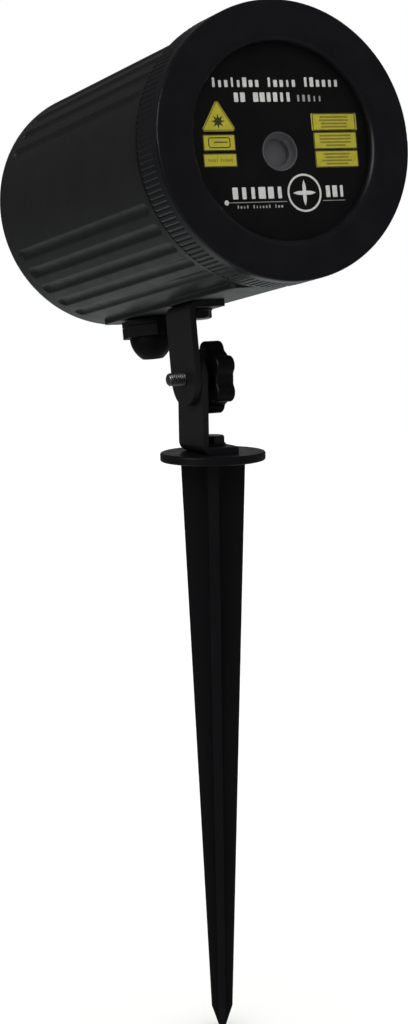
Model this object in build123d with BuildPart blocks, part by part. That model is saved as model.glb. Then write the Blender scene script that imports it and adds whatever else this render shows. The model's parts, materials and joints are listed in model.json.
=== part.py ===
from build123d import *

import os
from math import cos, pi, radians, sin

# Garden light projector on a ground stake, in millimetres.
# +Z is up and the origin is the centre of the stake flange's underside, at soil level.
# The lamp head faces -Y, the tilt pivot runs along X and the spike points down.

# ---------------------------------------------------------------- driving dimensions
TILT = 9.5                 # the head's axis points up by this many degrees

FLANGE_R = 24.1
FLANGE_T = 4.0
STAKE_LENGTH = 268.7       # below the flange's underside
BLADE_TOP_HALF = 14.7
BLADE_END_HALF = 4.9
BLADE_TOP_T = 5.0
BLADE_END_T = 3.5
POINT_LENGTH = 10.5
BLADE_TURN = -26.5         # the four blades stand turned from the X and Y axes
TIP_HALF = 1.4
TIP_T = 2.4
BOSS_R = 4.75
BOSS_DEPTH = 12.0
INSERT_R = 4.0             # brass insert in the boss
INSERT_DEPTH = 11.5

PLATE_T = 3.0              # bracket plate
BRACKET_W = 25.0
BRACKET_DROP = 34.0        # foot's outer face to the pivot
FOOT_LENGTH = 18.4
BEND_R = 4.5
ARM_X = -11.0              # outer face of the lower bracket's leg
PLATE_GAP = 0.2            # between the two legs
SLIP = 0.1                 # between flat faces that turn on each other

SHANK_R = 3.0              # M6 screws and stud
RUNNING = 0.08             # radial play of a turning shank
HEX_FLATS = 10.0
HEX_HEIGHT = 3.4
HEX_BEVEL = 1.2
SCREW_LENGTH = 13.0        # under the head
WASHER_R = 6.0
WASHER_T = 1.0

STUD_END_X = -22.0
KNOB_X = -4.2              # inner face of the knob's lobes
KNOB_T = 9.0
KNOB_R = 16.5
LOBE_R = 4.5
LOBES = 6
HUB_R = 7.0
KNOB_SKIN = 2.6            # plastic left over the end of the stud

BEZEL_R = 60.0
BEZEL_LENGTH = 23.3
OPENING_R = 42.4
LIP_T = 4.4
KNURL_START = 6.3
KNURL_END = 20.6
KNURL_RIDGES = 146
KNURL_DEPTH = 0.4
GROOVE_T = 1.0             # turned groove between the knurl and the rear rim
GROOVE_DEPTH = 1.2
EDGE_GROOVE = 0.6          # fine groove behind the front edge
EDGE_GROOVE_DEPTH = 1.0
REAR_GAP = 0.5             # between the ring and the housing's shoulder
BODY_R = 57.2
BODY_LENGTH = 189.8        # front face of the bezel to the rear of the housing
WALL = 4.0
NECK_R = 55.2
NECK_START = 8.8
AXIS_HEIGHT = 92.0         # the head's axis above the pivot
PIVOT_DEPTH = 90.6         # pivot behind the front face
PAD_LEVEL = AXIS_HEIGHT - BRACKET_DROP
PAD_HALF = 14.0
SCREW_BOSS_R = 7.0         # thickened spots inside the housing
GLAND_BOSS_R = 14.0
INNER_BOSS_T = 2.7
FLUTE_R = 3.4
FLUTE_DEPTH = 1.4
FLUTE_START = 34.0
FLUTE_END = 175.0

PANEL_DEPTH = 4.8
PANEL_T = 3.0
PANEL_R = 54.8
APERTURE_X = -0.8
APERTURE_UP = -4.0
APERTURE_R = 8.4
STICKER_T = 0.15

GLAND_DEPTH = 151.0
GLAND_FLATS = 24.0
GLAND_THREAD_R = 9.2

PLATE_UP = -24.0           # underside of the chassis plate
CHASSIS_T = 2.0
SPACER_T = 6.0
BOARD_T = 1.6
M3_R = 1.5
M3_HEAD_R = 2.8
M3_HEAD_T = 2.0
BEAM_SPACING = 18.0        # between the laser modules' axes
MODULE_R = 6.0
FOLD_DEPTH_NEAR = 52.0
FOLD_DEPTH_FAR = 64.0
WHEEL_TEETH = 48
PINION_TEETH = 12
TOOTH_MODULE = 0.6

# ------------------------------------------------------------------- derived places
pivot_z = FLANGE_T + BRACKET_DROP
pivot = Vector(0, 0, pivot_z)
lean = radians(TILT)
forward = Vector(0, -cos(lean), sin(lean))
rearward = forward * -1
upward = Vector(0, sin(lean), cos(lean))
face_centre = pivot + upward * AXIS_HEIGHT + forward * PIVOT_DEPTH
head_axis = Axis(face_centre, rearward)
pivot_axis = Axis(pivot, (1, 0, 0))
arm_inner_x = ARM_X + PLATE_T
upper_leg_x = ARM_X - PLATE_GAP - PLATE_T
bracket_hole = -ARM_X      # leg's outer face to the foot's screw hole
bore_r = BODY_R - WALL
chassis_top = PLATE_UP + CHASSIS_T
hex_corner_r = HEX_FLATS / 2 / cos(pi / 6)
pinion_distance = TOOTH_MODULE * (WHEEL_TEETH + PINION_TEETH) / 2

# The head's own planes. across(): local x right, y up, facing forward.
# level(): local x right, y rearward.
# turning_plane: local x is a radius and y a depth behind the front face.
turning_plane = Plane(face_centre, x_dir=upward, z_dir=(-1, 0, 0))


def across(depth, x=0.0, up=0.0):
    origin = face_centre + rearward * depth + upward * up + Vector(x, 0, 0)
    return Plane(origin, x_dir=(1, 0, 0), z_dir=forward)


def level(up, x=0.0, depth=0.0):
    origin = face_centre + upward * up + rearward * depth + Vector(x, 0, 0)
    return Plane(origin, x_dir=(1, 0, 0), z_dir=upward)


def keep(piece, label):
    piece.part.label = label
    export_step(piece.part, f"parts/{label}.step")


def hexagon(flats, turn=0.0):
    """Sketch a hexagon by its width across flats."""
    RegularPolygon(flats / 2, 6, major_radius=False, rotation=turn)


# --------------------------------------------------------------------------- stake
def stake():
    turned = Plane.XY.rotated((0, 0, BLADE_TURN))
    root = 0.5                 # the boss starts this far inside the flange
    levels = [
        (0.0, BLADE_TOP_HALF, BLADE_TOP_T),
        (-(STAKE_LENGTH - POINT_LENGTH), BLADE_END_HALF, BLADE_END_T),
        (-STAKE_LENGTH, TIP_HALF, TIP_T),
    ]
    with BuildPart() as spike:
        with BuildSketch(Plane.XY):
            Circle(FLANGE_R)
        extrude(amount=FLANGE_T)
        fillet(spike.edges().filter_by(GeomType.CIRCLE), radius=0.9)
        with BuildSketch(Plane.XY.offset(root)):
            Circle(BOSS_R)
        extrude(amount=-BOSS_DEPTH - root)
        chamfer(spike.faces().sort_by(Axis.Z)[0].edges(), length=0.6)
        for upper, lower in zip(levels, levels[1:]):
            for swap in (False, True):
                for height, half, thick in (upper, lower):
                    size = (thick, 2 * half) if swap else (2 * half, thick)
                    with BuildSketch(turned.offset(height)):
                        Rectangle(*size)
                loft()
        with BuildSketch(Plane.XY.offset(FLANGE_T)):
            Circle(INSERT_R)
        extrude(amount=-INSERT_DEPTH, mode=Mode.SUBTRACT)
    keep(spike, "stake")


def stake_insert():
    """Brass threaded insert moulded into the stake's boss."""
    with BuildPart() as insert:
        with BuildSketch(Plane.XY.offset(FLANGE_T)):
            Circle(INSERT_R)
            Circle(SHANK_R, mode=Mode.SUBTRACT)
        extrude(amount=-INSERT_DEPTH)
    keep(insert, "stake_insert")


def hex_screw(label, seat, length):
    """Hexagon head screw. The seat plane is under the head and faces away from the thread."""
    section = Plane(seat.origin, x_dir=seat.x_dir, z_dir=seat.y_dir * -1)
    with BuildPart() as screw:
        with BuildSketch(seat):
            hexagon(HEX_FLATS, turn=12)
        extrude(amount=HEX_HEIGHT)
        with BuildSketch(section):
            with BuildLine():
                Polyline(
                    (HEX_FLATS * 0.48, HEX_HEIGHT), (hex_corner_r + 1, HEX_HEIGHT),
                    (hex_corner_r + 1, HEX_HEIGHT - HEX_BEVEL), close=True,
                )
            make_face()
        revolve(axis=Axis(seat.origin, seat.z_dir), mode=Mode.SUBTRACT)
        with BuildSketch(seat):
            Circle(SHANK_R)
        extrude(amount=-length)
        chamfer(screw.faces().sort_by(Axis(seat.origin, seat.z_dir))[0].edges(), length=0.5)
    keep(screw, label)


def washer(label, plane, outer_r, thickness, hole_r):
    with BuildPart() as ring:
        with BuildSketch(plane):
            Circle(outer_r)
            Circle(hole_r, mode=Mode.SUBTRACT)
        extrude(amount=thickness)
        chamfer(ring.edges().filter_by(GeomType.CIRCLE).sort_by(SortBy.LENGTH)[-2:], length=0.15)
    keep(ring, label)


# ------------------------------------------------------------------------- brackets
def angle_bracket(label, foot_plane, leg_x, hole_r):
    """Folded plate. The foot plane is its outer face, with local z towards the pivot."""
    along_y = foot_plane.z_dir.cross(Vector(1, 0, 0))
    side = Plane(foot_plane.origin, x_dir=(1, 0, 0), z_dir=along_y * -1)
    leg_plane = Plane(foot_plane.origin + Vector(leg_x, 0, 0), x_dir=along_y, z_dir=(1, 0, 0))
    with BuildPart() as bracket:
        with BuildSketch(side):
            with BuildLine():
                FilletPolyline(
                    (leg_x, BRACKET_DROP), (leg_x, 0), (leg_x + FOOT_LENGTH, 0), radius=BEND_R
                )
                offset(amount=PLATE_T, side=Side.LEFT)
            make_face()
        extrude(amount=BRACKET_W / 2, both=True)
        rise = leg_plane.to_local_coords(pivot).Y
        with BuildSketch(leg_plane):
            with Locations((0, rise)):
                Circle(BRACKET_W / 2)
        extrude(amount=PLATE_T)
        with BuildSketch(leg_plane):
            with Locations((0, rise)):
                Circle(SHANK_R + RUNNING)
        extrude(amount=PLATE_T, mode=Mode.SUBTRACT)
        with BuildSketch(foot_plane):
            with Locations((leg_x + bracket_hole, 0)):
                Circle(hole_r)
        extrude(amount=PLATE_T, mode=Mode.SUBTRACT)
        corners = bracket.edges().filter_by(lambda e: abs(e.length - PLATE_T) < 0.01)
        fillet(corners.sort_by(Axis.X)[-2:], radius=1.2)
    keep(bracket, label)


# ---------------------------------------------------------------------------- clamp
def clamp_stud():
    section = Plane.XY.offset(pivot_z)
    end = KNOB_X + KNOB_T - KNOB_SKIN
    with BuildPart() as stud:
        with BuildSketch(section):
            with BuildLine():
                Polyline(
                    (STUD_END_X, 0), (STUD_END_X, SHANK_R - 0.7), (STUD_END_X + 0.7, SHANK_R),
                    (end, SHANK_R), (end, 0), close=True,
                )
            make_face()
        revolve(axis=pivot_axis)
    keep(stud, "clamp_stud")


def star_knob():
    hub_x = arm_inner_x + WASHER_T + 2 * SLIP
    grip_plane = Plane((KNOB_X, 0, pivot_z), x_dir=(0, 0, 1), z_dir=(1, 0, 0))
    hub_plane = Plane((hub_x, 0, pivot_z), x_dir=(0, 0, 1), z_dir=(1, 0, 0))
    with BuildPart() as knob:
        with BuildSketch(grip_plane) as grip:
            Circle(KNOB_R - 3.2)
            with PolarLocations(KNOB_R - LOBE_R, LOBES):
                Circle(LOBE_R)
            fillet(grip.vertices(), radius=2.2)
        extrude(amount=KNOB_T)
        ends = knob.faces().filter_by(Axis.X).sort_by(Axis.X)
        fillet(ends[0].edges() + ends[-1].edges(), radius=1.2)
        with BuildSketch(hub_plane):
            Circle(HUB_R)
        extrude(amount=KNOB_X - hub_x + 1)
        with BuildSketch(hub_plane):
            Circle(SHANK_R)
        extrude(amount=KNOB_X + KNOB_T - KNOB_SKIN - hub_x, mode=Mode.SUBTRACT)
    keep(knob, "star_knob")


# --------------------------------------------------------------------- head casings
def flute_angles():
    top = [23.7 + 10 * step for step in range(14)]
    left = [203.7 + 10 * step for step in range(5)]
    right = [-23.7 - 10 * step for step in range(5)]
    return top + left + right


def housing_shell():
    cutter_r = BODY_R + FLUTE_R - FLUTE_DEPTH
    shoulder = BEZEL_LENGTH + REAR_GAP
    screw_spot = (upper_leg_x + bracket_hole, PIVOT_DEPTH)
    gland_spot = (0, GLAND_DEPTH)
    with BuildPart() as shell:
        with BuildSketch(turning_plane):
            with BuildLine():
                Polyline(
                    (bore_r, NECK_START), (NECK_R, NECK_START), (NECK_R, shoulder),
                    (BODY_R, shoulder), (BODY_R, BODY_LENGTH), (0, BODY_LENGTH),
                    (0, BODY_LENGTH - WALL), (bore_r, BODY_LENGTH - WALL), close=True,
                )
            make_face()
        revolve(axis=head_axis)
        rims = shell.edges().filter_by(GeomType.CIRCLE).sort_by(head_axis)
        fillet(rims[-1], radius=5)
        with BuildSketch(level(-PAD_LEVEL)):
            with Locations((0, (FLUTE_START + FLUTE_END) / 2)):
                RectangleRounded(2 * PAD_HALF, FLUTE_END - FLUTE_START, 4)
        extrude(amount=PAD_LEVEL - bore_r - 0.2)
        with BuildSketch(level(-bore_r - 1.5)):
            with Locations(screw_spot):
                Circle(SCREW_BOSS_R)
            with Locations(gland_spot):
                Circle(GLAND_BOSS_R)
        extrude(amount=1.5 + INNER_BOSS_T)
        for angle in flute_angles():
            away = radians(angle)
            x, up = cutter_r * cos(away), cutter_r * sin(away)
            with BuildSketch(across(FLUTE_START, x, up)):
                Circle(FLUTE_R)
            extrude(amount=FLUTE_START - FLUTE_END, mode=Mode.SUBTRACT)
            for depth in (FLUTE_START, FLUTE_END):
                with Locations(across(depth, x, up)):
                    Sphere(FLUTE_R, mode=Mode.SUBTRACT)
        with BuildSketch(level(-PAD_LEVEL - 1)):
            with Locations(screw_spot):
                Circle(SHANK_R)
            with Locations(gland_spot):
                Circle(GLAND_THREAD_R)
        extrude(amount=14, mode=Mode.SUBTRACT)
    keep(shell, "housing_shell")


def knurl_outline(outer, inner, ridges):
    """Closed outline of flat-topped ridges with V grooves between them."""
    points = []
    for ridge in range(ridges):
        for share, radius in ((-0.22, outer), (0.22, outer), (0.5, inner)):
            angle = 2 * pi * (ridge + share) / ridges
            points.append((radius * cos(angle), radius * sin(angle)))
    return points


def front_ring():
    bore = NECK_R + 0.1
    edge = 1.2
    groove_r = BEZEL_R - EDGE_GROOVE_DEPTH
    rim_start = KNURL_END + GROOVE_T
    with BuildPart() as ring:
        with BuildSketch(turning_plane):
            with BuildLine():
                Polyline(
                    (OPENING_R, 0), (BEZEL_R, 0), (BEZEL_R, edge), (groove_r, edge),
                    (groove_r, edge + EDGE_GROOVE), (BEZEL_R, edge + EDGE_GROOVE),
                    (BEZEL_R, KNURL_START), (bore, KNURL_START), (bore, LIP_T),
                    (OPENING_R, LIP_T), close=True,
                )
            make_face()
            with BuildLine():
                Polyline(
                    (bore, KNURL_END), (BEZEL_R - GROOVE_DEPTH, KNURL_END),
                    (BEZEL_R - GROOVE_DEPTH, rim_start), (BEZEL_R - 0.2, rim_start),
                    (BEZEL_R - 0.2, BEZEL_LENGTH), (bore, BEZEL_LENGTH), close=True,
                )
            make_face()
        revolve(axis=head_axis)
        front = ring.faces().sort_by(head_axis)[0]
        fillet(front.edges().sort_by(SortBy.LENGTH)[0], radius=3.0)
        fillet(ring.faces().sort_by(head_axis)[0].edges().sort_by(SortBy.LENGTH)[-1], radius=0.9)
        with BuildSketch(across(KNURL_END)):
            with BuildLine():
                Polyline(*knurl_outline(BEZEL_R, BEZEL_R - KNURL_DEPTH, KNURL_RIDGES), close=True)
            make_face()
            Circle(bore, mode=Mode.SUBTRACT)
        extrude(amount=KNURL_END - KNURL_START)
    keep(ring, "front_ring")


def flat_ring(label, front_depth, thickness, outer_r, inner_r):
    """Flat ring on the head's axis."""
    with BuildPart() as ring:
        with BuildSketch(across(front_depth + thickness)):
            Circle(outer_r)
            Circle(inner_r, mode=Mode.SUBTRACT)
        extrude(amount=thickness)
    keep(ring, label)


def front_panel():
    back = PANEL_DEPTH + PANEL_T
    with BuildPart() as panel:
        with BuildSketch(across(back)):
            Circle(PANEL_R)
            with Locations((APERTURE_X, APERTURE_UP)):
                Circle(APERTURE_R, mode=Mode.SUBTRACT)
        extrude(amount=PANEL_T)
        with BuildSketch(level(chassis_top, depth=back - 0.5)):
            with Locations((-30, 7), (30, 7)):
                Rectangle(12, 14)
        extrude(amount=10)
        with BuildSketch(level(chassis_top, depth=back)):
            with Locations((-30, 7), (30, 7)):
                Circle(M3_R)
        extrude(amount=8, mode=Mode.SUBTRACT)
    keep(panel, "front_panel")


# --------------------------------------------------------------- aperture and labels
def turned_at_aperture(label, points):
    """Turned piece on the aperture's axis, from (radius, depth) points."""
    centre = face_centre + Vector(APERTURE_X, 0, 0) + upward * APERTURE_UP
    section = Plane(centre, x_dir=upward, z_dir=(-1, 0, 0))
    with BuildPart() as piece:
        with BuildSketch(section):
            with BuildLine():
                Polyline(*points, close=True)
            make_face()
        revolve(axis=Axis(centre, rearward))
    keep(piece, label)


def aperture_pieces():
    front = PANEL_DEPTH
    turned_at_aperture("aperture_tube", [
        (8.0, front + 0.1), (APERTURE_R, front + 0.1), (APERTURE_R, front + 12),
        (7.0, front + 12), (7.0, front + 5.9), (6.1, front + 5.9), (6.1, front + 3.4),
        (8.0, front + 3.2),
    ])
    turned_at_aperture("window_glass", [
        (0, front + 5.9), (6.95, front + 5.9), (6.95, front + 7.4), (0, front + 7.4),
    ])
    turned_at_aperture("window_ring", [
        (6.0, front + 7.4), (6.95, front + 7.4), (6.95, front + 8.2), (6.0, front + 8.2),
    ])


def caution_label():
    with BuildPart() as label:
        with BuildSketch(across(PANEL_DEPTH)) as outline:
            with BuildLine():
                Polyline((-37.3, 4.8), (-20.7, 4.8), (-29, 18.4), close=True)
            make_face()
            fillet(outline.vertices(), radius=1.0)
        extrude(amount=STICKER_T)
    keep(label, "caution_label")


def info_labels():
    """Plain stickers: (centre x, centre height, width, height)."""
    stickers = [
        (-29.3, 0.0, 15.0, 6.8),
        (-29.5, -7.4, 15.6, 5.6),
        (26.5, 8.3, 22.0, 7.4),
        (26.5, 0.3, 21.0, 7.3),
        (26.5, -7.6, 21.0, 7.3),
    ]
    with BuildPart() as labels:
        with BuildSketch(across(PANEL_DEPTH)):
            for x, up, width, height in stickers:
                with Locations((x, up)):
                    RectangleRounded(width, height, 0.6)
        extrude(amount=STICKER_T)
    keep(labels, "info_labels")


# ----------------------------------------------------------------------- cable gland
def gland_turned(label, points, hexes=(), turn=0.0):
    """Turned gland piece from (radius, height) points, with hexagons (low, high)."""
    section = across(GLAND_DEPTH)
    axis = Axis(section.origin, upward)
    with BuildPart() as piece:
        with BuildSketch(section):
            with BuildLine():
                Polyline(*points, close=True)
            make_face()
        revolve(axis=axis)
        for low, high in hexes:
            with BuildSketch(level(low, depth=GLAND_DEPTH)):
                hexagon(GLAND_FLATS, turn)
                Circle(GLAND_THREAD_R - 0.4, mode=Mode.SUBTRACT)
            extrude(amount=high - low)
    return piece


def gland_pieces():
    seat = -PAD_LEVEL
    hex_turn = 19.0
    body = gland_turned("gland_body", [
        (5.2, seat - 9), (7.6, seat - 9), (7.6, seat - 3.4), (10.9, seat - 3.4),
        (10.9, seat - 0.8), (GLAND_THREAD_R, seat - 0.8), (GLAND_THREAD_R, seat + 13),
        (5.2, seat + 13),
    ], [(seat - 3.4, seat - 0.8)], hex_turn)
    keep(body, "gland_body")
    gasket = gland_turned("gland_gasket", [
        (GLAND_THREAD_R, seat - 0.8), (10.6, seat - 0.8), (10.6, seat), (GLAND_THREAD_R, seat),
    ])
    keep(gasket, "gland_gasket")
    nut_top = seat - 3.6
    with BuildPart() as nut:
        with BuildSketch(level(nut_top - 5.4, depth=GLAND_DEPTH)):
            hexagon(GLAND_FLATS, hex_turn)
        extrude(amount=5.4)
        with BuildSketch(across(GLAND_DEPTH)):
            with BuildLine():
                Line((0, nut_top - 5.4), (10.2, nut_top - 5.4))
                Spline(
                    (10.2, nut_top - 5.4), (9.5, nut_top - 9.6), (7.7, nut_top - 12.9),
                    (4.9, nut_top - 15.7), tangents=((0, -1), (-1, -0.8)),
                )
                Polyline((4.9, nut_top - 15.7), (0, nut_top - 15.7), (0, nut_top - 5.4))
            make_face()
        revolve(axis=Axis(across(GLAND_DEPTH).origin, upward))
        with BuildSketch(across(GLAND_DEPTH)):
            with BuildLine():
                Polyline(
                    (0, nut_top + 1), (7.7, nut_top + 1), (7.7, nut_top - 8.2),
                    (5.0, nut_top - 12.6), (4.2, nut_top - 12.6), (4.2, nut_top - 17),
                    (0, nut_top - 17), close=True,
                )
            make_face()
        revolve(axis=Axis(across(GLAND_DEPTH).origin, upward), mode=Mode.SUBTRACT)
    keep(nut, "gland_nut")
    seal = gland_turned("gland_seal", [
        (3.3, nut_top - 12.4), (4.8, nut_top - 12.4), (5.1, nut_top - 11.9),
        (5.1, nut_top - 2), (3.3, nut_top - 2),
    ])
    keep(seal, "gland_seal")
    inner_seat = -bore_r + INNER_BOSS_T
    with BuildPart() as locknut:
        with BuildSketch(level(inner_seat, depth=GLAND_DEPTH)):
            hexagon(GLAND_FLATS)
            Circle(GLAND_THREAD_R, mode=Mode.SUBTRACT)
        extrude(amount=4)
    keep(locknut, "gland_locknut")


# --------------------------------------------------------------------- inner chassis
def slab(label, up, thickness, depth_range, half_width, holes=()):
    """Flat plate on the head's level planes, with (x, depth, radius) holes."""
    start, end = depth_range
    with BuildPart() as plate:
        with BuildSketch(level(up)):
            with Locations((0, (start + end) / 2)):
                Rectangle(2 * half_width, end - start)
            for x, depth, radius in holes:
                with Locations((x, depth)):
                    Circle(radius, mode=Mode.SUBTRACT)
        extrude(amount=thickness)
    keep(plate, label)


def screws(label, up, length, places, head_up):
    """Group of identical M3 screws at (x, depth) places."""
    with BuildPart() as group:
        with BuildSketch(level(up)):
            with Locations(*places):
                Circle(M3_R)
        extrude(amount=length)
        with BuildSketch(level(head_up)):
            with Locations(*places):
                Circle(M3_HEAD_R)
        extrude(amount=M3_HEAD_T)
    keep(group, label)


def chassis():
    panel_screws = [(-30, 14.8), (30, 14.8)]
    board_places = [(-24, 118), (24, 118), (-24, 158), (24, 158)]
    holes = [(x, depth, M3_R) for x, depth in panel_screws + board_places]
    board_up = chassis_top + SPACER_T
    board_top = board_up + BOARD_T
    slab("chassis_plate", PLATE_UP, CHASSIS_T, (8.5, 168), 38, holes)
    screws("chassis_screws", PLATE_UP, 9, panel_screws, PLATE_UP - M3_HEAD_T)
    slab("driver_board", board_up, BOARD_T, (113, 163), 28, holes[2:])
    with BuildPart() as spacers:
        with BuildSketch(level(chassis_top)):
            with Locations(*board_places):
                Circle(2 * M3_R)
                Circle(M3_R, mode=Mode.SUBTRACT)
        extrude(amount=SPACER_T)
    keep(spacers, "board_spacers")
    screws("board_screws", PLATE_UP, board_top - PLATE_UP, board_places, board_top)
    with BuildPart() as parts:
        with BuildSketch(level(board_top)):
            with Locations((-14, 128), (-14, 144)):
                Circle(5)
        extrude(amount=14)
        with BuildSketch(level(board_top)):
            with Locations((6, 126)):
                Rectangle(12, 12)
            with Locations((6, 148)):
                Rectangle(8, 10)
        extrude(amount=3)
        with BuildSketch(level(board_top)):
            with Locations((20, 138)):
                Rectangle(7, 16)
        extrude(amount=8)
    keep(parts, "board_parts")


def laser_unit():
    start, end = 76, 108
    modules = {
        "green_laser": (0, 40),
        "red_laser": (BEAM_SPACING, 34),
        "blue_laser": (-BEAM_SPACING, 34),
    }
    bores = [(APERTURE_X + offset, APERTURE_UP) for offset, _ in modules.values()]
    with BuildPart() as block:
        with BuildSketch(level(chassis_top)):
            with Locations((APERTURE_X, (start + end) / 2)):
                Rectangle(2 * BEAM_SPACING + 20, end - start)
        extrude(amount=APERTURE_UP + 10 - chassis_top)
        with BuildSketch(across(end)):
            with Locations(*bores):
                Circle(MODULE_R)
        extrude(amount=end - start, mode=Mode.SUBTRACT)
        with BuildSketch(level(APERTURE_UP)):
            with Locations(*[(x, start + 10) for x, _ in bores]):
                Circle(M3_R)
        extrude(amount=12, mode=Mode.SUBTRACT)
    keep(block, "laser_block")
    for label, (offset, length) in modules.items():
        x = APERTURE_X + offset
        with BuildPart() as laser:
            with BuildSketch(across(start - 3 + length, x, APERTURE_UP)):
                Circle(MODULE_R)
            extrude(amount=length)
            with BuildSketch(across(start - 3, x, APERTURE_UP)):
                Circle(2.2)
            extrude(amount=-2, mode=Mode.SUBTRACT)
        keep(laser, label)
    with BuildPart() as grubs:
        with BuildSketch(level(APERTURE_UP + MODULE_R)):
            with Locations(*[(x, start + 10) for x, _ in bores]):
                Circle(M3_R)
        extrude(amount=3.6)
    keep(grubs, "laser_grub_screws")


def mirrors():
    """Fold mirrors turn the side beams inwards and combiners turn them forward again."""
    slot_up = chassis_top + 3
    stands = {
        "fold_mirrors": [
            (BEAM_SPACING, FOLD_DEPTH_FAR, 45), (-BEAM_SPACING, FOLD_DEPTH_NEAR, -45),
        ],
        "combiner_mirrors": [(0, FOLD_DEPTH_FAR, 45), (0, FOLD_DEPTH_NEAR, -45)],
    }
    with BuildPart() as base:
        with BuildSketch(level(chassis_top)):
            with Locations((APERTURE_X, (FOLD_DEPTH_NEAR + FOLD_DEPTH_FAR) / 2)):
                Rectangle(2 * BEAM_SPACING + 20, 25)
        extrude(amount=5)
        with BuildSketch(level(slot_up)):
            for x, depth, turn in sum(stands.values(), []):
                with Locations((APERTURE_X + x, depth)):
                    Rectangle(14, 1.2, rotation=turn)
        extrude(amount=4, mode=Mode.SUBTRACT)
    keep(base, "mirror_base")
    for label, plates in stands.items():
        with BuildPart() as glass:
            with BuildSketch(level(slot_up)):
                for x, depth, turn in plates:
                    with Locations((APERTURE_X + x, depth)):
                        Rectangle(14, 1.2, rotation=turn)
            extrude(amount=APERTURE_UP + 7 - slot_up)
        keep(glass, label)


# ------------------------------------------------------------------- grating gearing
def gear_outline(teeth, first_angle):
    """Trapezoid teeth, slim enough to run with backlash; the first is at first_angle."""
    pitch_r = TOOTH_MODULE * teeth / 2
    tip_r, root_r = pitch_r + 0.9 * TOOTH_MODULE, pitch_r - 1.2 * TOOTH_MODULE
    pitch = 2 * pi / teeth
    points = []
    for tooth in range(teeth):
        middle = first_angle + tooth * pitch
        for share, radius in ((-0.32, root_r), (-0.11, tip_r), (0.11, tip_r), (0.32, root_r)):
            angle = middle + share * pitch
            points.append((radius * cos(angle), radius * sin(angle)))
    return points


def grating_drive():
    carrier_front, carrier_t = 30.0, 3.0
    gear_front = carrier_front + carrier_t + SLIP
    gear_t = 4.0
    hub_r = 9.0
    motor_up = APERTURE_UP + pinion_distance
    with BuildPart() as carrier:
        with BuildSketch(across(carrier_front + carrier_t)):
            with Locations((APERTURE_X, (chassis_top + 24) / 2)):
                Rectangle(44, 24 - chassis_top)
            with Locations((APERTURE_X, APERTURE_UP)):
                Circle(hub_r + RUNNING, mode=Mode.SUBTRACT)
            with Locations((APERTURE_X, motor_up)):
                Circle(2.5, mode=Mode.SUBTRACT)
        extrude(amount=carrier_t)
        with BuildSketch(level(chassis_top, depth=carrier_front + carrier_t)):
            with Locations((-18, 4), (18, 4)):
                Rectangle(8, 8)
        extrude(amount=2)
    keep(carrier, "wheel_carrier")
    with BuildPart() as wheel:
        with BuildSketch(across(gear_front + gear_t, APERTURE_X, APERTURE_UP)):
            with BuildLine():
                Polyline(*gear_outline(WHEEL_TEETH, pi / 2), close=True)
            make_face()
        extrude(amount=gear_t)
        with BuildSketch(across(gear_front, APERTURE_X, APERTURE_UP)):
            Circle(hub_r)
        extrude(amount=carrier_t + 2 * SLIP + 1.2)
        with BuildSketch(across(gear_front + gear_t, APERTURE_X, APERTURE_UP)):
            Circle(7)
        extrude(amount=gear_t + 6, mode=Mode.SUBTRACT)
    keep(wheel, "grating_wheel")
    with BuildPart() as film:
        with BuildSketch(across(gear_front + 1, APERTURE_X, APERTURE_UP)):
            Circle(7)
        extrude(amount=1)
    keep(film, "turning_grating")
    with BuildPart() as clip:
        with BuildSketch(across(carrier_front - SLIP, APERTURE_X, APERTURE_UP)):
            Circle(10.4)
            Circle(hub_r, mode=Mode.SUBTRACT)
        extrude(amount=1)
    keep(clip, "wheel_clip")
    with BuildPart() as motor:
        with BuildSketch(across(carrier_front, APERTURE_X, motor_up)):
            Circle(6)
        extrude(amount=14)
        with BuildSketch(across(carrier_front + 2, APERTURE_X, motor_up)):
            Circle(2.5)
        extrude(amount=2)
        with BuildSketch(across(carrier_front + 2, APERTURE_X, motor_up)):
            Circle(0.75 + RUNNING)
        extrude(amount=12, mode=Mode.SUBTRACT)
    keep(motor, "wheel_motor")
    with BuildPart() as shaft:
        with BuildSketch(across(gear_front + gear_t, APERTURE_X, motor_up)):
            Circle(0.75)
        extrude(amount=gear_t + SLIP + carrier_t + 9.5)
    keep(shaft, "motor_shaft")
    with BuildPart() as pinion:
        with BuildSketch(across(gear_front + gear_t, APERTURE_X, motor_up)):
            with BuildLine():
                gap_facing_wheel = -pi / 2 + pi / PINION_TEETH
                Polyline(*gear_outline(PINION_TEETH, gap_facing_wheel), close=True)
            make_face()
            Circle(0.75, mode=Mode.SUBTRACT)
        extrude(amount=gear_t)
    keep(pinion, "motor_pinion")
    with BuildPart() as holder:
        with BuildSketch(across(44)):
            with Locations((APERTURE_X, (chassis_top + 8) / 2)):
                Rectangle(24, 8 - chassis_top)
            with Locations((APERTURE_X, APERTURE_UP)):
                Circle(6, mode=Mode.SUBTRACT)
        extrude(amount=2.5)
    keep(holder, "grating_holder")
    with BuildPart() as fixed:
        with BuildSketch(across(43.2, APERTURE_X, APERTURE_UP)):
            Circle(6)
        extrude(amount=1)
    keep(fixed, "fixed_grating")


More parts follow.
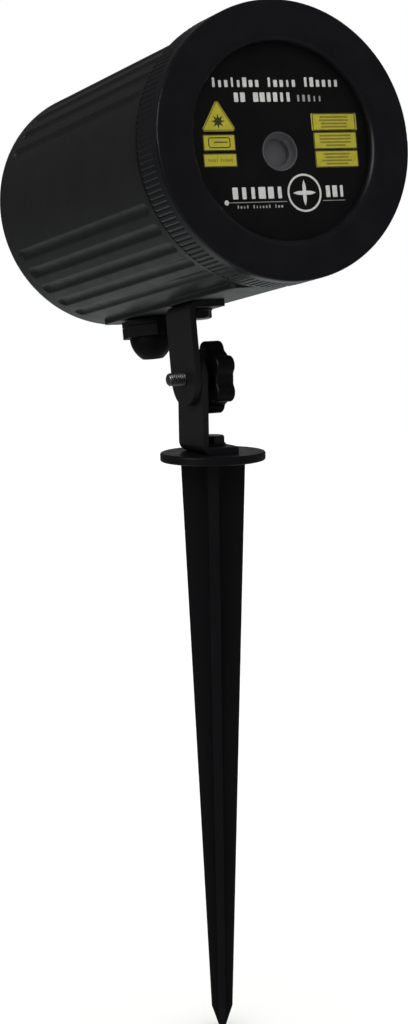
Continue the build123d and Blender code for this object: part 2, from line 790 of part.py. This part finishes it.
# -------------------------------------------------------------------------- assembly
def build():
    os.makedirs("parts", exist_ok=True)
    foot_top = FLANGE_T + PLATE_T
    stake()
    stake_insert()
    washer("foot_washer", Plane.XY.offset(foot_top + SLIP), WASHER_R, WASHER_T, SHANK_R)
    hex_screw("foot_screw", Plane.XY.offset(foot_top + SLIP + WASHER_T), SCREW_LENGTH)
    angle_bracket("lower_bracket", Plane.XY.offset(FLANGE_T), ARM_X, SHANK_R + RUNNING)

    pad = level(-PAD_LEVEL, depth=PIVOT_DEPTH)
    downward = Plane(pad.origin, x_dir=(1, 0, 0), z_dir=upward * -1)
    angle_bracket("upper_bracket", downward, upper_leg_x, SHANK_R)
    hole_x = upper_leg_x + bracket_hole
    under_foot = Plane(
        pad.origin + Vector(hole_x, 0, 0) - upward * PLATE_T, x_dir=(1, 0, 0), z_dir=upward * -1
    )
    washer("bracket_washer", under_foot, WASHER_R, WASHER_T, SHANK_R)
    hex_screw("bracket_screw", under_foot.offset(WASHER_T), SCREW_LENGTH)

    clamp_plane = Plane((arm_inner_x + SLIP, 0, pivot_z), x_dir=(0, 0, 1), z_dir=(1, 0, 0))
    washer("clamp_washer", clamp_plane, WASHER_R, WASHER_T, SHANK_R + RUNNING)
    clamp_stud()
    star_knob()

    housing_shell()
    front_ring()
    flat_ring("slip_ring", LIP_T + 0.02, 0.36, PANEL_R, OPENING_R + 1)
    front_panel()
    panel_back = PANEL_DEPTH + PANEL_T
    flat_ring("panel_gasket", panel_back, NECK_START - panel_back, NECK_R - 0.2, bore_r)
    aperture_pieces()
    caution_label()
    info_labels()
    gland_pieces()
    chassis()
    laser_unit()
    mirrors()
    grating_drive()


build()
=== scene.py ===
import json
import math
import random

import bmesh
import bpy
from mathutils import Matrix, Vector


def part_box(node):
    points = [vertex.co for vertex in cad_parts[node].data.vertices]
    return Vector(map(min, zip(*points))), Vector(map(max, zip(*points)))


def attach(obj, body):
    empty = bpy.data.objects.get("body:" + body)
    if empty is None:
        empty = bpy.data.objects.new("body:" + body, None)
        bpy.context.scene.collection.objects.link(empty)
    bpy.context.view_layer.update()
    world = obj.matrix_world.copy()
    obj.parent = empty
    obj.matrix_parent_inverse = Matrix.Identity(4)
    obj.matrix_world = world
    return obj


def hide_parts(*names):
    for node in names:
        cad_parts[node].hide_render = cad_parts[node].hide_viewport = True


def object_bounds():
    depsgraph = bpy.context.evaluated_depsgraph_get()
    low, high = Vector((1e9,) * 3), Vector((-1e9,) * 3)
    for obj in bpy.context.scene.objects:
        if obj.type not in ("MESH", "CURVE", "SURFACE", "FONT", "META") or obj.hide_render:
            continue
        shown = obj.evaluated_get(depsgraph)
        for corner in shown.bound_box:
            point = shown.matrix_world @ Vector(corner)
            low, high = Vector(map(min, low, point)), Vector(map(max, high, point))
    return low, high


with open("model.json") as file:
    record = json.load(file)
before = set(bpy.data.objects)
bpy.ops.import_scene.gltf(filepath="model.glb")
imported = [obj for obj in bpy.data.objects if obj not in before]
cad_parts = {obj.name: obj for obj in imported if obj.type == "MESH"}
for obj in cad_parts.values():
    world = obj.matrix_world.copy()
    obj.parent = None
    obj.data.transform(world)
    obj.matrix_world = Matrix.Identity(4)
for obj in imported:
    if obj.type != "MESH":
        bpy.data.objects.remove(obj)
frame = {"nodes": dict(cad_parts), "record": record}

# Garden light projector on a ground stake. Lengths are metres, or millimetres where MM scales them.
# The head's own frame has x to its right, y up its face and z out of the face.

MM = 0.001
cad_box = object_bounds()
scene = bpy.context.scene
record = frame["record"]
joints = {joint["name"]: joint for joint in record["behaviour"]["joints"]}
slot_of = {part["node"]: part["material_slot"] for part in record["subparts"]}

FORWARD = Vector(joints["ring_turn"]["axis"]).normalized()
FACE = Vector(joints["ring_turn"]["pos_m"])
RIGHT = Vector((1, 0, 0))
UPWARD = FORWARD.cross(RIGHT)
HEAD_TURN = Matrix((RIGHT, UPWARD, FORWARD)).transposed().to_4x4()
PIVOT = Vector(joints["knob_turn"]["pos_m"])


def nearest(node):
    """How far in front of the face's plane a CAD node reaches (negative is behind it)."""
    mesh = frame["nodes"][node].data
    return max((vertex.co - FACE).dot(FORWARD) for vertex in mesh.vertices)


# ------------------------------------------------------------------------- materials
class Shader:
    """A Principled material with softened edges that detail nodes are added to."""

    def __init__(self, name, colour, roughness, metallic=0.0, specular=0.5, edge=0.25 * MM):
        self.material = bpy.data.materials.new(name)
        self.material.use_nodes = True
        self.nodes = self.material.node_tree.nodes
        self.links = self.material.node_tree.links
        self.surface = self.nodes["Principled BSDF"]
        self.set("Base Color", (*colour, 1.0))
        self.set("Roughness", roughness)
        self.set("Metallic", metallic)
        self.set("Specular IOR Level", specular)
        self.coordinates = self.nodes.new("ShaderNodeTexCoord").outputs["Object"]
        edges = self.nodes.new("ShaderNodeBevel")
        edges.samples = 6
        edges.inputs["Radius"].default_value = edge
        self.link(edges.outputs["Normal"], self.surface.inputs["Normal"])

    def set(self, socket, value):
        self.surface.inputs[socket].default_value = value

    def link(self, output, socket):
        self.links.new(output, socket)

    def mapping(self, stretch=(1, 1, 1), turn=(0, 0, 0), centre=(0, 0, 0)):
        """Coordinates measured from a centre, turned and stretched."""
        moved = self.nodes.new("ShaderNodeVectorMath")
        moved.operation = "SUBTRACT"
        moved.inputs[1].default_value = centre
        node = self.nodes.new("ShaderNodeMapping")
        node.inputs["Rotation"].default_value = turn
        node.inputs["Scale"].default_value = stretch
        self.link(self.coordinates, moved.inputs[0])
        self.link(moved.outputs[0], node.inputs["Vector"])
        return node.outputs["Vector"]

    def noise(self, size, detail=4.0, vector=None):
        """Fractal noise whose main features are size metres across."""
        node = self.nodes.new("ShaderNodeTexNoise")
        node.inputs["Scale"].default_value = 1 / size
        node.inputs["Detail"].default_value = detail
        self.link(vector or self.coordinates, node.inputs["Vector"])
        return node.outputs["Fac"]

    def ramp(self, value, stops):
        node = self.nodes.new("ShaderNodeValToRGB")
        for index, (place, colour) in enumerate(stops):
            stop = node.color_ramp.elements[index] if index < 2 else node.color_ramp.elements.new(place)
            stop.position = place
            stop.color = (*colour, 1.0)
        self.link(value, node.inputs["Fac"])
        return node.outputs["Color"]

    def spread(self, value, low, high):
        node = self.nodes.new("ShaderNodeMapRange")
        node.inputs["From Min"].default_value = 0.3
        node.inputs["From Max"].default_value = 0.7
        node.inputs["To Min"].default_value = low
        node.inputs["To Max"].default_value = high
        self.link(value, node.inputs["Value"])
        return node.outputs["Result"]

    def mottle(self, size, dark, light, vector=None):
        colour = self.ramp(self.noise(size, 5.0, vector), [(0.32, dark), (0.68, light)])
        self.link(colour, self.surface.inputs["Base Color"])

    def uneven_gloss(self, size, low, high, vector=None):
        value = self.spread(self.noise(size, 3.0, vector), low, high)
        self.link(value, self.surface.inputs["Roughness"])

    def bump(self, height, depth, strength=1.0):
        """Add relief of that depth in metres, over any relief already there."""
        node = self.nodes.new("ShaderNodeBump")
        node.inputs["Distance"].default_value = depth
        node.inputs["Strength"].default_value = strength
        socket = self.surface.inputs["Normal"]
        if socket.links:
            self.link(socket.links[0].from_socket, node.inputs["Normal"])
        self.link(height, node.inputs["Height"])
        self.link(node.outputs["Normal"], socket)


def powder_coat(name, dark, light, roughness, specular, grain, edge=0.3 * MM):
    """Sprayed coat: soft orange peel over a fine grain, gathered round the edges."""
    look = Shader(name, light, roughness, specular=specular, edge=edge)
    look.mottle(16 * MM, dark, light)
    look.uneven_gloss(9 * MM, roughness - 0.03, roughness + 0.03)
    look.bump(look.noise(1.8 * MM, 2.0), 0.003 * MM)
    look.bump(look.noise(grain, 3.0), 0.004 * MM)
    return look.material


def moulded(name, dark, light, roughness, specular, streak=(1, 1, 1)):
    """Injection-moulded plastic: spark-eroded grain and faint flow marks."""
    look = Shader(name, light, roughness, specular=specular)
    flow = look.mapping(stretch=streak)
    look.mottle(9 * MM, dark, light, flow)
    look.uneven_gloss(6 * MM, roughness - 0.05, roughness + 0.05, flow)
    look.bump(look.noise(1.6 * MM, 3.0, flow), 0.006 * MM)
    look.bump(look.noise(0.28 * MM, 2.0), 0.004 * MM)
    return look.material


def plated(name, dark, light, roughness, streak=(1, 1, 1)):
    """Bare or plated metal with rolling or turning marks along the streak."""
    look = Shader(name, light, roughness, metallic=1.0)
    grain = look.mapping(stretch=streak)
    look.mottle(3 * MM, dark, light, grain)
    look.uneven_gloss(1.2 * MM, roughness - 0.08, roughness + 0.1, grain)
    look.bump(look.noise(0.35 * MM, 3.0, grain), 0.006 * MM)
    return look.material


def bezel_finish():
    """Satin black ring with faint turning marks round the head's axis."""
    look = Shader("bezel_black", (0.005, 0.005, 0.0062), 0.32, specular=0.22)
    turn = HEAD_TURN.to_3x3().transposed().to_euler()
    centred = look.mapping(turn=turn, centre=FACE)
    look.mottle(12 * MM, (0.0050, 0.0049, 0.0064), (0.0066, 0.0064, 0.0082))
    look.uneven_gloss(6 * MM, 0.29, 0.36)
    rings = look.nodes.new("ShaderNodeTexWave")
    rings.wave_type = "RINGS"
    rings.rings_direction = "Z"
    rings.inputs["Scale"].default_value = 380
    rings.inputs["Distortion"].default_value = 1.2
    rings.inputs["Detail"].default_value = 2.0
    look.link(centred, rings.inputs["Vector"])
    look.bump(rings.outputs["Fac"], 0.003 * MM, 0.5)
    look.bump(look.noise(0.4 * MM, 3.0), 0.008 * MM)
    return look.material


def panel_finish():
    """Flat matt black sheet, with the faint waviness of a rolled plate."""
    look = Shader("panel_black", (0.0034, 0.0034, 0.0038), 0.5, specular=0.12)
    look.mottle(14 * MM, (0.0036, 0.0036, 0.0042), (0.0050, 0.0050, 0.0058))
    look.uneven_gloss(8 * MM, 0.46, 0.56)
    look.bump(look.noise(5 * MM, 2.0), 0.01 * MM)
    look.bump(look.noise(0.3 * MM, 3.0), 0.006 * MM)
    return look.material


def label_finish():
    """Printed yellow film: even colour with faint ink mottle under a thin clear layer."""
    look = Shader("label_yellow", (0.5, 0.44, 0.03), 0.38, specular=0.35)
    look.mottle(2.5 * MM, (0.37, 0.335, 0.024), (0.44, 0.395, 0.034))
    look.uneven_gloss(3 * MM, 0.33, 0.43)
    look.bump(look.noise(1.5 * MM, 2.0), 0.004 * MM)
    look.set("Coat Weight", 0.2)
    look.set("Coat Roughness", 0.25)
    return look.material


def ink(name, dark, light, roughness):
    look = Shader(name, light, roughness, specular=0.3)
    look.mottle(1.4 * MM, dark, light)
    look.uneven_gloss(1.0 * MM, roughness - 0.05, roughness + 0.05)
    look.bump(look.noise(0.25 * MM, 2.0), 0.004 * MM)
    return look.material


def glass_finish():
    """Coated optical glass: mostly clear with a grey cast and faint dust."""
    look = Shader("glass", (0.07, 0.07, 0.075), 0.2, specular=0.5)
    look.mottle(10 * MM, (0.104, 0.104, 0.114), (0.122, 0.122, 0.132))
    look.uneven_gloss(6 * MM, 0.18, 0.26)
    look.bump(look.noise(6 * MM, 2.0), 0.0008 * MM)
    look.set("Transmission Weight", 0.15)
    look.set("Coat Weight", 0.3)
    look.set("Coat Roughness", 0.08)
    return look.material


def board_finish():
    """Solder-masked board: green with darker copper tracks showing through."""
    look = Shader("board_green", (0.02, 0.11, 0.04), 0.35, specular=0.5)
    tracks = look.nodes.new("ShaderNodeTexVoronoi")
    tracks.feature = "DISTANCE_TO_EDGE"
    tracks.inputs["Scale"].default_value = 1 / (4 * MM)
    look.link(look.coordinates, tracks.inputs["Vector"])
    colour = look.ramp(tracks.outputs["Distance"], [(0.04, (0.03, 0.17, 0.06)), (0.12, (0.012, 0.08, 0.03))])
    look.link(colour, look.surface.inputs["Base Color"])
    look.uneven_gloss(2 * MM, 0.28, 0.42)
    look.bump(tracks.outputs["Distance"], 0.01 * MM)
    return look.material


def rubber_finish():
    look = Shader("rubber_black", (0.01, 0.01, 0.0105), 0.75, specular=0.2)
    look.mottle(5 * MM, (0.007, 0.007, 0.0075), (0.014, 0.014, 0.0145))
    look.uneven_gloss(2 * MM, 0.68, 0.84)
    look.bump(look.noise(0.5 * MM, 4.0), 0.02 * MM)
    return look.material


LONG = (1, 1, 0.12)            # marks drawn out along the stake
ALONG_X = (0.15, 1, 1)         # marks drawn out along the stud

finishes = {
    "housing_grey": powder_coat(
        "housing_grey", (0.0092, 0.0092, 0.0092), (0.0112, 0.0110, 0.0110), 0.44, 0.3, 0.5 * MM,
        1.3 * MM),
    "bezel_black": bezel_finish(),
    "panel_black": panel_finish(),
    "label_yellow": label_finish(),
    "bracket_black": powder_coat(
        "bracket_black", (0.0078, 0.0077, 0.0082), (0.0092, 0.0090, 0.0097), 0.45, 0.32, 0.4 * MM),
    "steel": plated("steel", (0.13, 0.129, 0.125), (0.21, 0.208, 0.204), 0.36, ALONG_X),
    "screw_black": plated("screw_black", (0.075, 0.067, 0.063), (0.120, 0.107, 0.101), 0.36),
    "knob_black": moulded("knob_black", (0.0028, 0.0026, 0.0028), (0.0045, 0.0042, 0.0045), 0.42, 0.18),
    "stake_black": moulded(
        "stake_black", (0.0042, 0.0040, 0.0052), (0.0058, 0.0055, 0.0072), 0.38, 0.16, LONG),
    "gland_black": moulded("gland_black", (0.0030, 0.0026, 0.0030), (0.0044, 0.0038, 0.0044), 0.46, 0.1),
    "rubber_black": rubber_finish(),
    "brass": plated("brass", (0.42, 0.27, 0.08), (0.58, 0.40, 0.14), 0.3),
    "aperture_grey": powder_coat(
        "aperture_grey", (0.080, 0.080, 0.088), (0.095, 0.095, 0.104), 0.5, 0.3, 0.4 * MM),
    "aluminium": plated("aluminium", (0.42, 0.43, 0.45), (0.58, 0.59, 0.61), 0.36),
    "glass": glass_finish(),
    "board_green": board_finish(),
    "component_dark": moulded("component_dark", (0.014, 0.014, 0.016), (0.024, 0.024, 0.027), 0.45, 0.4),
    "gear_white": moulded("gear_white", (0.60, 0.59, 0.55), (0.70, 0.69, 0.65), 0.5, 0.4),
}
light_ink = ink("light_ink", (0.50, 0.50, 0.50), (0.62, 0.62, 0.61), 0.5)
grey_ink = ink("grey_ink", (0.26, 0.26, 0.26), (0.34, 0.34, 0.33), 0.5)
dark_ink = ink("dark_ink", (0.025, 0.024, 0.012), (0.04, 0.038, 0.018), 0.5)
small_ink = ink("small_ink", (0.17, 0.15, 0.02), (0.22, 0.19, 0.03), 0.5)

for node, obj in frame["nodes"].items():
    look = finishes[slot_of[node]]
    if not obj.material_slots:
        obj.data.materials.append(look)
    for material_slot in obj.material_slots:
        material_slot.material = look


# ---------------------------------------------------------------------- mesh pieces
def add_piece(name, bm, look, body, smooth_angle=None):
    """Finish a bmesh as an object that rides on a body."""
    mesh = bpy.data.meshes.new(name)
    bm.normal_update()
    bm.to_mesh(mesh)
    bm.free()
    if smooth_angle:
        mesh.shade_smooth()
        mesh.set_sharp_from_angle(angle=math.radians(smooth_angle))
    mesh.materials.append(look)
    obj = bpy.data.objects.new(name, mesh)
    scene.collection.objects.link(obj)
    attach(obj, body)
    return obj


# ------------------------------------------------------------------ print and stickers
PRINT_T = 0.04                 # millimetres proud of what it is printed on
SUNK = 0.02                    # and let into it


def rounded_rectangle(x, y, width, height, radius=0.3, steps=3):
    """Outline, anticlockwise, in millimetres on the panel."""
    radius = min(radius, width / 2, height / 2)
    corners = [(1, 1), (-1, 1), (-1, -1), (1, -1)]
    points = []
    for quarter, (right, top) in enumerate(corners):
        centre_x = x + right * (width / 2 - radius)
        centre_y = y + top * (height / 2 - radius)
        for step in range(steps + 1):
            turn = math.pi / 2 * (quarter + step / steps)
            points.append((centre_x + radius * math.cos(turn), centre_y + radius * math.sin(turn)))
    return points


def disc(x, y, radius, steps=28):
    turns = [2 * math.pi * step / steps for step in range(steps)]
    return [(x + radius * math.cos(turn), y + radius * math.sin(turn)) for turn in turns]


def star(x, y, radius, waist, rays=4, steps=5):
    """Plain sparkle: rays drawn in to a waist, with curved flanks."""
    points = []
    for step in range(2 * rays * steps):
        share = (step / steps) % 2
        inward = share if share <= 1 else 2 - share
        reach = waist + (radius - waist) * (1 - inward) ** 2.2
        turn = math.pi / 2 + math.pi / rays * step / steps
        points.append((x + reach * math.cos(turn), y + reach * math.sin(turn)))
    return points


def prism(bm, outline, hole, low, high):
    """Closed plate between two heights, with an optional hole of as many points."""
    rings = []
    for points in (outline, hole) if hole else (outline,):
        for height in (low, high):
            rings.append([bm.verts.new((x, y, height)) for x, y in points])
    count = len(outline)
    for index in range(count):
        after = (index + 1) % count
        bm.faces.new((rings[0][index], rings[0][after], rings[1][after], rings[1][index]))
        if hole:
            bm.faces.new((rings[3][index], rings[3][after], rings[2][after], rings[2][index]))
            bm.faces.new((rings[1][index], rings[1][after], rings[3][after], rings[3][index]))
            bm.faces.new((rings[2][index], rings[2][after], rings[0][after], rings[0][index]))
    if not hole:
        bm.faces.new(rings[1])
        bm.faces.new(list(reversed(rings[0])))


def print_piece(name, shapes, surface, look):
    """Shapes (outline, hole or None) in millimetres, printed on a surface of the head."""
    bm = bmesh.new()
    base = surface / MM
    for outline, hole in shapes:
        prism(bm, outline, hole, base - SUNK, base + PRINT_T)
    bm.transform(Matrix.Translation(FACE) @ HEAD_TURN @ Matrix.Scale(MM, 4))
    return add_piece(name, bm, look, "head")


def block_words(left, right, base, tall, low, words, seed, weight=0.55):
    """A row of plain upright blocks: each word is a number of blocks, weight their mean width."""
    draw = random.Random(seed)
    pitch = (right - left) / (sum(words) + len(words) - 1)
    shapes = []
    x = left
    for word in words:
        for index in range(word):
            height = tall if index == 0 or draw.random() < 0.25 else low
            width = pitch * weight * draw.uniform(0.65, 1.35)
            outline = rounded_rectangle(x + pitch / 2, base + height / 2, width, height, 0.3)
            shapes.append((outline, None))
            x += pitch
        x += pitch
    return shapes


def text_bars(x, y, width, height, lines, seed):
    """Centred thin bars that stand for lines of small print."""
    draw = random.Random(seed)
    shapes = []
    for line in range(lines):
        up = y + height * ((lines - 1) / 2 - line) / lines
        length = width * draw.uniform(0.5, 0.88)
        shapes.append((rounded_rectangle(x, up, length, 0.5 * height / lines, 0.2), None))
    return shapes


def frame_line(x, y, width, height, line, radius=0.5):
    inner = rounded_rectangle(x, y, width - 2 * line, height - 2 * line, max(radius - line, 0.05))
    return rounded_rectangle(x, y, width, height, radius), inner


def print_panel():
    """Plain marks on the panel and its stickers, in millimetres from the face's centre."""
    panel = nearest("front_panel")
    label = nearest("info_labels")
    heading = block_words(-31.0, 30.6, 23.4, 4.1, 3.0, (8, 5, 6), 3, 0.5)
    second = block_words(-21.0, 7.0, 17.1, 4.0, 4.0, (2, 6), 5, 0.6)
    slim = block_words(9.0, 22.0, 17.1, 2.9, 2.4, (5,), 7, 0.42)
    print_piece("heading_print", heading + second, panel, light_ink)
    print_piece("slim_print", slim, panel, grey_ink)
    row = block_words(-26.0, -0.6, -24.0, 5.0, 5.0, (6,), 9, 0.62)
    row += block_words(19.0, 29.0, -24.0, 5.0, 5.0, (3,), 12, 0.62)
    ring = (disc(9.2, -21.9, 8.2, 48), disc(9.2, -21.9, 7.3, 48))
    emblem = [ring, (star(9.2, -21.9, 5.6, 1.3), None), (disc(-28.3, -25.4, 1.1), None)]
    print_piece("emblem_print", row + emblem, panel, light_ink)
    rule = [
        (rounded_rectangle(-13.6, -25.4, 28.0, 0.3, 0.15), None),
        (rounded_rectangle(23.2, -25.4, 11.0, 0.3, 0.15), None),
    ]
    small = block_words(-23.8, -1.4, -28.0, 1.5, 1.1, (4, 6, 3), 13, 0.5)
    print_piece("rule_print", rule + small, panel, grey_ink)

    triangle = [(-37.3, 4.8), (-20.7, 4.8), (-29.0, 18.4)]
    middle = (-29.0, sum(y for _, y in triangle) / 3)
    rays = star(-29.0, 9.0, 3.3, 1.5, rays=8, steps=3)
    shapes = [(shrunk(triangle, middle, 0.93), shrunk(triangle, middle, 0.87)), (rays, None)]
    print_piece("caution_print", shapes, label, dark_ink)

    shapes = [frame_line(-29.3, 0.0, 10.4, 4.6, 0.45, 1.2)]
    shapes.append((rounded_rectangle(-28.6, 0.2, 6.2, 0.5), None))
    shapes.append(frame_line(-29.3, 0.0, 14.9, 6.7, 0.28, 0.6))
    shapes.append(frame_line(-29.5, -7.4, 15.5, 5.5, 0.28, 0.6))
    print_piece("symbol_print", shapes, label, dark_ink)
    lines = block_words(-35.4, -23.6, -8.1, 1.5, 1.2, (5, 6), 17, 0.5)
    frames = []
    for y, height, seed in ((8.3, 7.4, 19), (0.3, 7.3, 23), (-7.6, 7.3, 29)):
        lines += text_bars(26.5, y, 18.0, 5.6, 4, seed)
        frames.append(frame_line(26.5, y, 20.9, height - 0.1, 0.34, 0.5))
    print_piece("info_print", lines, label, small_ink)
    print_piece("border_print", frames, label, dark_ink)


def shrunk(points, centre, share):
    return [(centre[0] + (x - centre[0]) * share, centre[1] + (y - centre[1]) * share) for x, y in points]


# --------------------------------------------------------------------- threaded stud
def threaded_stud():
    """M6 stud: a right-hand thread with a 1 mm pitch and a chamfered free end."""
    low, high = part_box("clamp_stud")
    major = (high.z - low.z) / 2
    depth, pitch, chamfer = 0.6 * MM, 1.0 * MM, 0.7 * MM
    around, along = 32, 8
    steps = round((high.x - low.x) / pitch * along)
    bm = bmesh.new()
    rings = []
    for step in range(steps + 1):
        x = low.x + (high.x - low.x) * step / steps
        ring = []
        for corner in range(around):
            turn = 2 * math.pi * corner / around
            phase = (x / pitch - corner / around) % 1
            # From 0 on the flat crest to 1 in the flat root.
            groove = min(1.0, max(0.0, 1.25 * (1 - abs(2 * phase - 1)) - 0.12))
            radius = major - depth * groove
            radius = min(radius, major - chamfer + (x - low.x))
            ring.append(bm.verts.new((x, radius * math.cos(turn), PIVOT.z + radius * math.sin(turn))))
        rings.append(ring)
    for near, far in zip(rings, rings[1:]):
        for corner in range(around):
            after = (corner + 1) % around
            bm.faces.new((near[corner], far[corner], far[after], near[after]))
    bm.faces.new(rings[0])
    bm.faces.new(list(reversed(rings[-1])))
    bmesh.ops.recalc_face_normals(bm, faces=bm.faces)
    stud = add_piece("threaded_stud", bm, finishes["steel"], "clamp_knob", 50)
    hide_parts("clamp_stud")


# ----------------------------------------------------------------------------- studio
FLOOR_RADIUS = 2.5
FLOOR_GAP = 0.3 * MM

# What the object mirrors by height: 0 is straight down, 0.5 the horizon and 1 straight up.
# A new ramp has its two end stops already, so they come first.
SURROUNDINGS = [
    (0.0, (0.30, 0.33, 0.32)),
    (1.0, (0.02, 0.019, 0.018)),
    (0.25, (0.150, 0.165, 0.160)),
    (0.43, (0.093, 0.095, 0.100)),
    (0.55, (0.074, 0.072, 0.074)),
    (0.69, (0.078, 0.075, 0.073)),
    (0.76, (0.115, 0.108, 0.103)),
    (0.88, (0.080, 0.076, 0.073)),
]
# The surroundings are brighter low down, behind and to the right: where that starts and is
# full, as parts of a direction along the world's axes, and how many times brighter they are.
BELOW_FROM, BELOW_FULL = -0.1, -0.45
BEHIND_FROM, BEHIND_FULL = 0.05, 0.45
RIGHT_FROM, RIGHT_FULL = -0.35, 0.30
LOW_BOOST = 3.0

# The camera stands at the object's own right front and looks slightly down on it.
CAMERA_PLACE = (-0.50296, -1.00574, 0.13599)
CAMERA_YAW = math.radians(-26.34)
CAMERA_PITCH = math.radians(-8.09)
CAMERA_ROLL = math.radians(-1.0)
CAMERA_LENS = 87.13            # millimetres, on a sensor 36 mm high
SENSOR = 36.0


def paper_floor():
    mesh = bpy.data.meshes.new("floor")
    bm = bmesh.new()
    bmesh.ops.create_circle(bm, cap_ends=True, segments=96, radius=FLOOR_RADIUS)
    bm.to_mesh(mesh)
    bm.free()
    floor = bpy.data.objects.new("floor", mesh)
    floor.location.z = cad_box[0].z - FLOOR_GAP
    floor.visible_glossy = False
    scene.collection.objects.link(floor)
    paper = Shader("floor_paper", (0.85, 0.88, 0.87), 0.9, specular=0.0)
    paper.mottle(0.4, (0.845, 0.875, 0.865), (0.855, 0.885, 0.875))
    mesh.materials.append(paper.material)


def surroundings():
    """White behind the object for the camera, and a graded room for everything else."""
    world = bpy.data.worlds.new("studio")
    scene.world = world
    world.use_nodes = True
    nodes, links = world.node_tree.nodes, world.node_tree.links
    direction = nodes.new("ShaderNodeTexCoord")
    split = nodes.new("ShaderNodeSeparateXYZ")
    links.new(direction.outputs["Generated"], split.inputs[0])

    def grade(axis, start, full, most=1.0):
        node = nodes.new("ShaderNodeMapRange")
        node.inputs["From Min"].default_value = start
        node.inputs["From Max"].default_value = full
        node.inputs["To Max"].default_value = most
        links.new(split.outputs[axis], node.inputs["Value"])
        return node.outputs["Result"]

    def combined(operation, first, second):
        node = nodes.new("ShaderNodeMath")
        node.operation = operation
        node.inputs[2].default_value = 1.0
        links.new(first, node.inputs[0])
        links.new(second, node.inputs[1])
        return node.outputs["Value"]

    shades = nodes.new("ShaderNodeValToRGB")
    for index, (place, colour) in enumerate(SURROUNDINGS):
        stop = shades.color_ramp.elements[index] if index < 2 else shades.color_ramp.elements.new(place)
        stop.position = place
        stop.color = (*colour, 1.0)
    links.new(grade("Z", -1.0, 1.0), shades.inputs["Fac"])
    low_behind = combined(
        "MULTIPLY", grade("Z", BELOW_FROM, BELOW_FULL), grade("Y", BEHIND_FROM, BEHIND_FULL))
    strength = combined("MULTIPLY_ADD", low_behind, grade("X", RIGHT_FROM, RIGHT_FULL, LOW_BOOST))
    room = nodes["Background"]
    links.new(shades.outputs["Color"], room.inputs["Color"])
    links.new(strength, room.inputs["Strength"])

    white = nodes.new("ShaderNodeBackground")
    white.inputs["Color"].default_value = (1, 1, 1, 1)
    seen = nodes.new("ShaderNodeLightPath")
    mix = nodes.new("ShaderNodeMixShader")
    links.new(seen.outputs["Is Camera Ray"], mix.inputs["Fac"])
    links.new(room.outputs["Background"], mix.inputs[1])
    links.new(white.outputs["Background"], mix.inputs[2])
    links.new(mix.outputs["Shader"], nodes["World Output"].inputs["Surface"])


def area_light(name, place, target, size, power, colour=(1, 1, 1), tall=None, glossy=True, diffuse=True):
    data = bpy.data.lights.new(name, "AREA")
    data.shape = "RECTANGLE"
    data.size = size
    data.size_y = tall or size
    data.energy = power
    data.color = colour
    light = bpy.data.objects.new(name, data)
    light.location = place
    light.rotation_euler = (Vector(target) - Vector(place)).to_track_quat("-Z", "Y").to_euler()
    light.visible_glossy = glossy
    light.visible_diffuse = diffuse
    light.visible_camera = False
    scene.collection.objects.link(light)


def lights():
    """A soft ceiling, a card behind on the right and one on the left for the rounded edges."""
    area_light("ceiling", (0, 0, 4.0), (0, 0, 0), 14.0, 1000, (1.0, 0.975, 0.955), glossy=False)
    area_light("back_card", (1.35, 2.64, 0.45), (0, 0, 0), 0.9, 0.6)
    area_light("left_card", (-2.0, -0.45, 1.15), (0, 0, 0.1), 0.7, 25.0, tall=1.5, diffuse=False)


def camera():
    level = Vector((math.cos(CAMERA_YAW), math.sin(CAMERA_YAW), 0))
    ahead = Vector((-math.sin(CAMERA_YAW), math.cos(CAMERA_YAW), 0))
    view = ahead * math.cos(CAMERA_PITCH) + Vector((0, 0, math.sin(CAMERA_PITCH)))
    raised = level.cross(view)
    right = level * math.cos(CAMERA_ROLL) + raised * math.sin(CAMERA_ROLL)
    top = raised * math.cos(CAMERA_ROLL) - level * math.sin(CAMERA_ROLL)
    data = bpy.data.cameras.new("camera")
    data.sensor_width = SENSOR
    data.lens = CAMERA_LENS
    data.clip_end = 50
    eye = bpy.data.objects.new("camera", data)
    turn = Matrix((right, top, -view)).transposed().to_4x4()
    eye.matrix_world = Matrix.Translation(CAMERA_PLACE) @ turn
    scene.collection.objects.link(eye)
    scene.camera = eye


print_panel()
threaded_stud()
paper_floor()
surroundings()
lights()
camera()
scene.view_settings.view_transform = "Standard"
